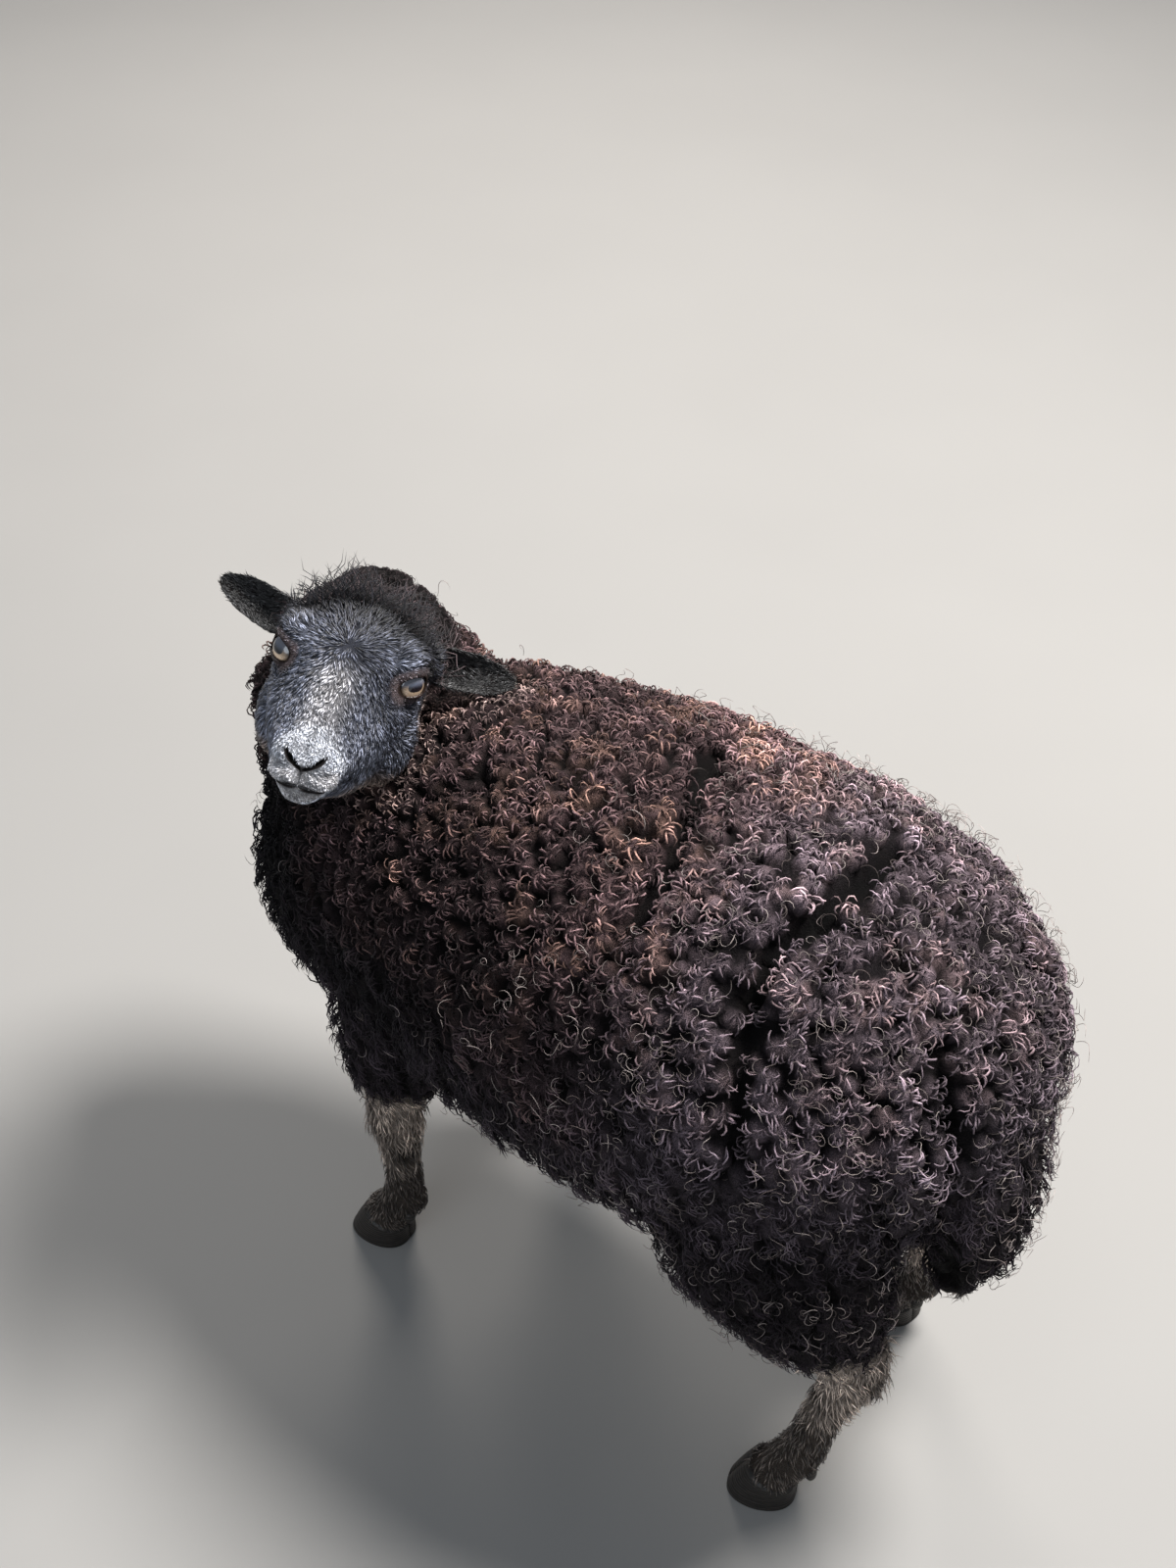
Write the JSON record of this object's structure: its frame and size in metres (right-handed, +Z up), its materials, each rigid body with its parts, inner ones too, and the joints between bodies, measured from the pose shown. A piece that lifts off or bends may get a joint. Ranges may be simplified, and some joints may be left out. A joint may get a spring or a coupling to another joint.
{
  "type": "ouessant sheep",
  "caption": "Small polled black sheep standing still in a dense curly fleece, its head turned back over its left side.",
  "frame": {"origin": "on the floor under the middle of the whole sheep's box", "axes": "+Z up, -Y the way the body faces, +X the sheep's left side, towards which the head is turned"},
  "size_m": [0.3164, 0.567, 0.5055],
  "materials": {
    "wool": "dense curly fleece, matte",
    "face": "short hair with a soft sheen",
    "ear": "velvety skin and down",
    "shank": "short rough hair",
    "eye": "wet, glossy",
    "hoof": "dull horn"
  },
  "bodies": {
    "root": {"torso": "wool", "neck": "wool", "tail": "wool", "head": "face", "ear_left": "ear", "ear_right": "ear", "eye_left": "eye", "eye_right": "eye", "leg_hind_left_upper": "wool", "leg_hind_left_lower": "shank", "hoof_hind_left_outer": "hoof", "hoof_hind_left_inner": "hoof", "leg_hind_right_upper": "wool", "leg_hind_right_lower": "shank", "hoof_hind_right_outer": "hoof", "hoof_hind_right_inner": "hoof", "leg_front_left_upper": "wool", "leg_front_left_lower": "shank", "hoof_front_left_outer": "hoof", "hoof_front_left_inner": "hoof", "leg_front_right_upper": "wool", "leg_front_right_lower": "shank", "hoof_front_right_outer": "hoof", "hoof_front_right_inner": "hoof"}
  },
  "joints": []
}
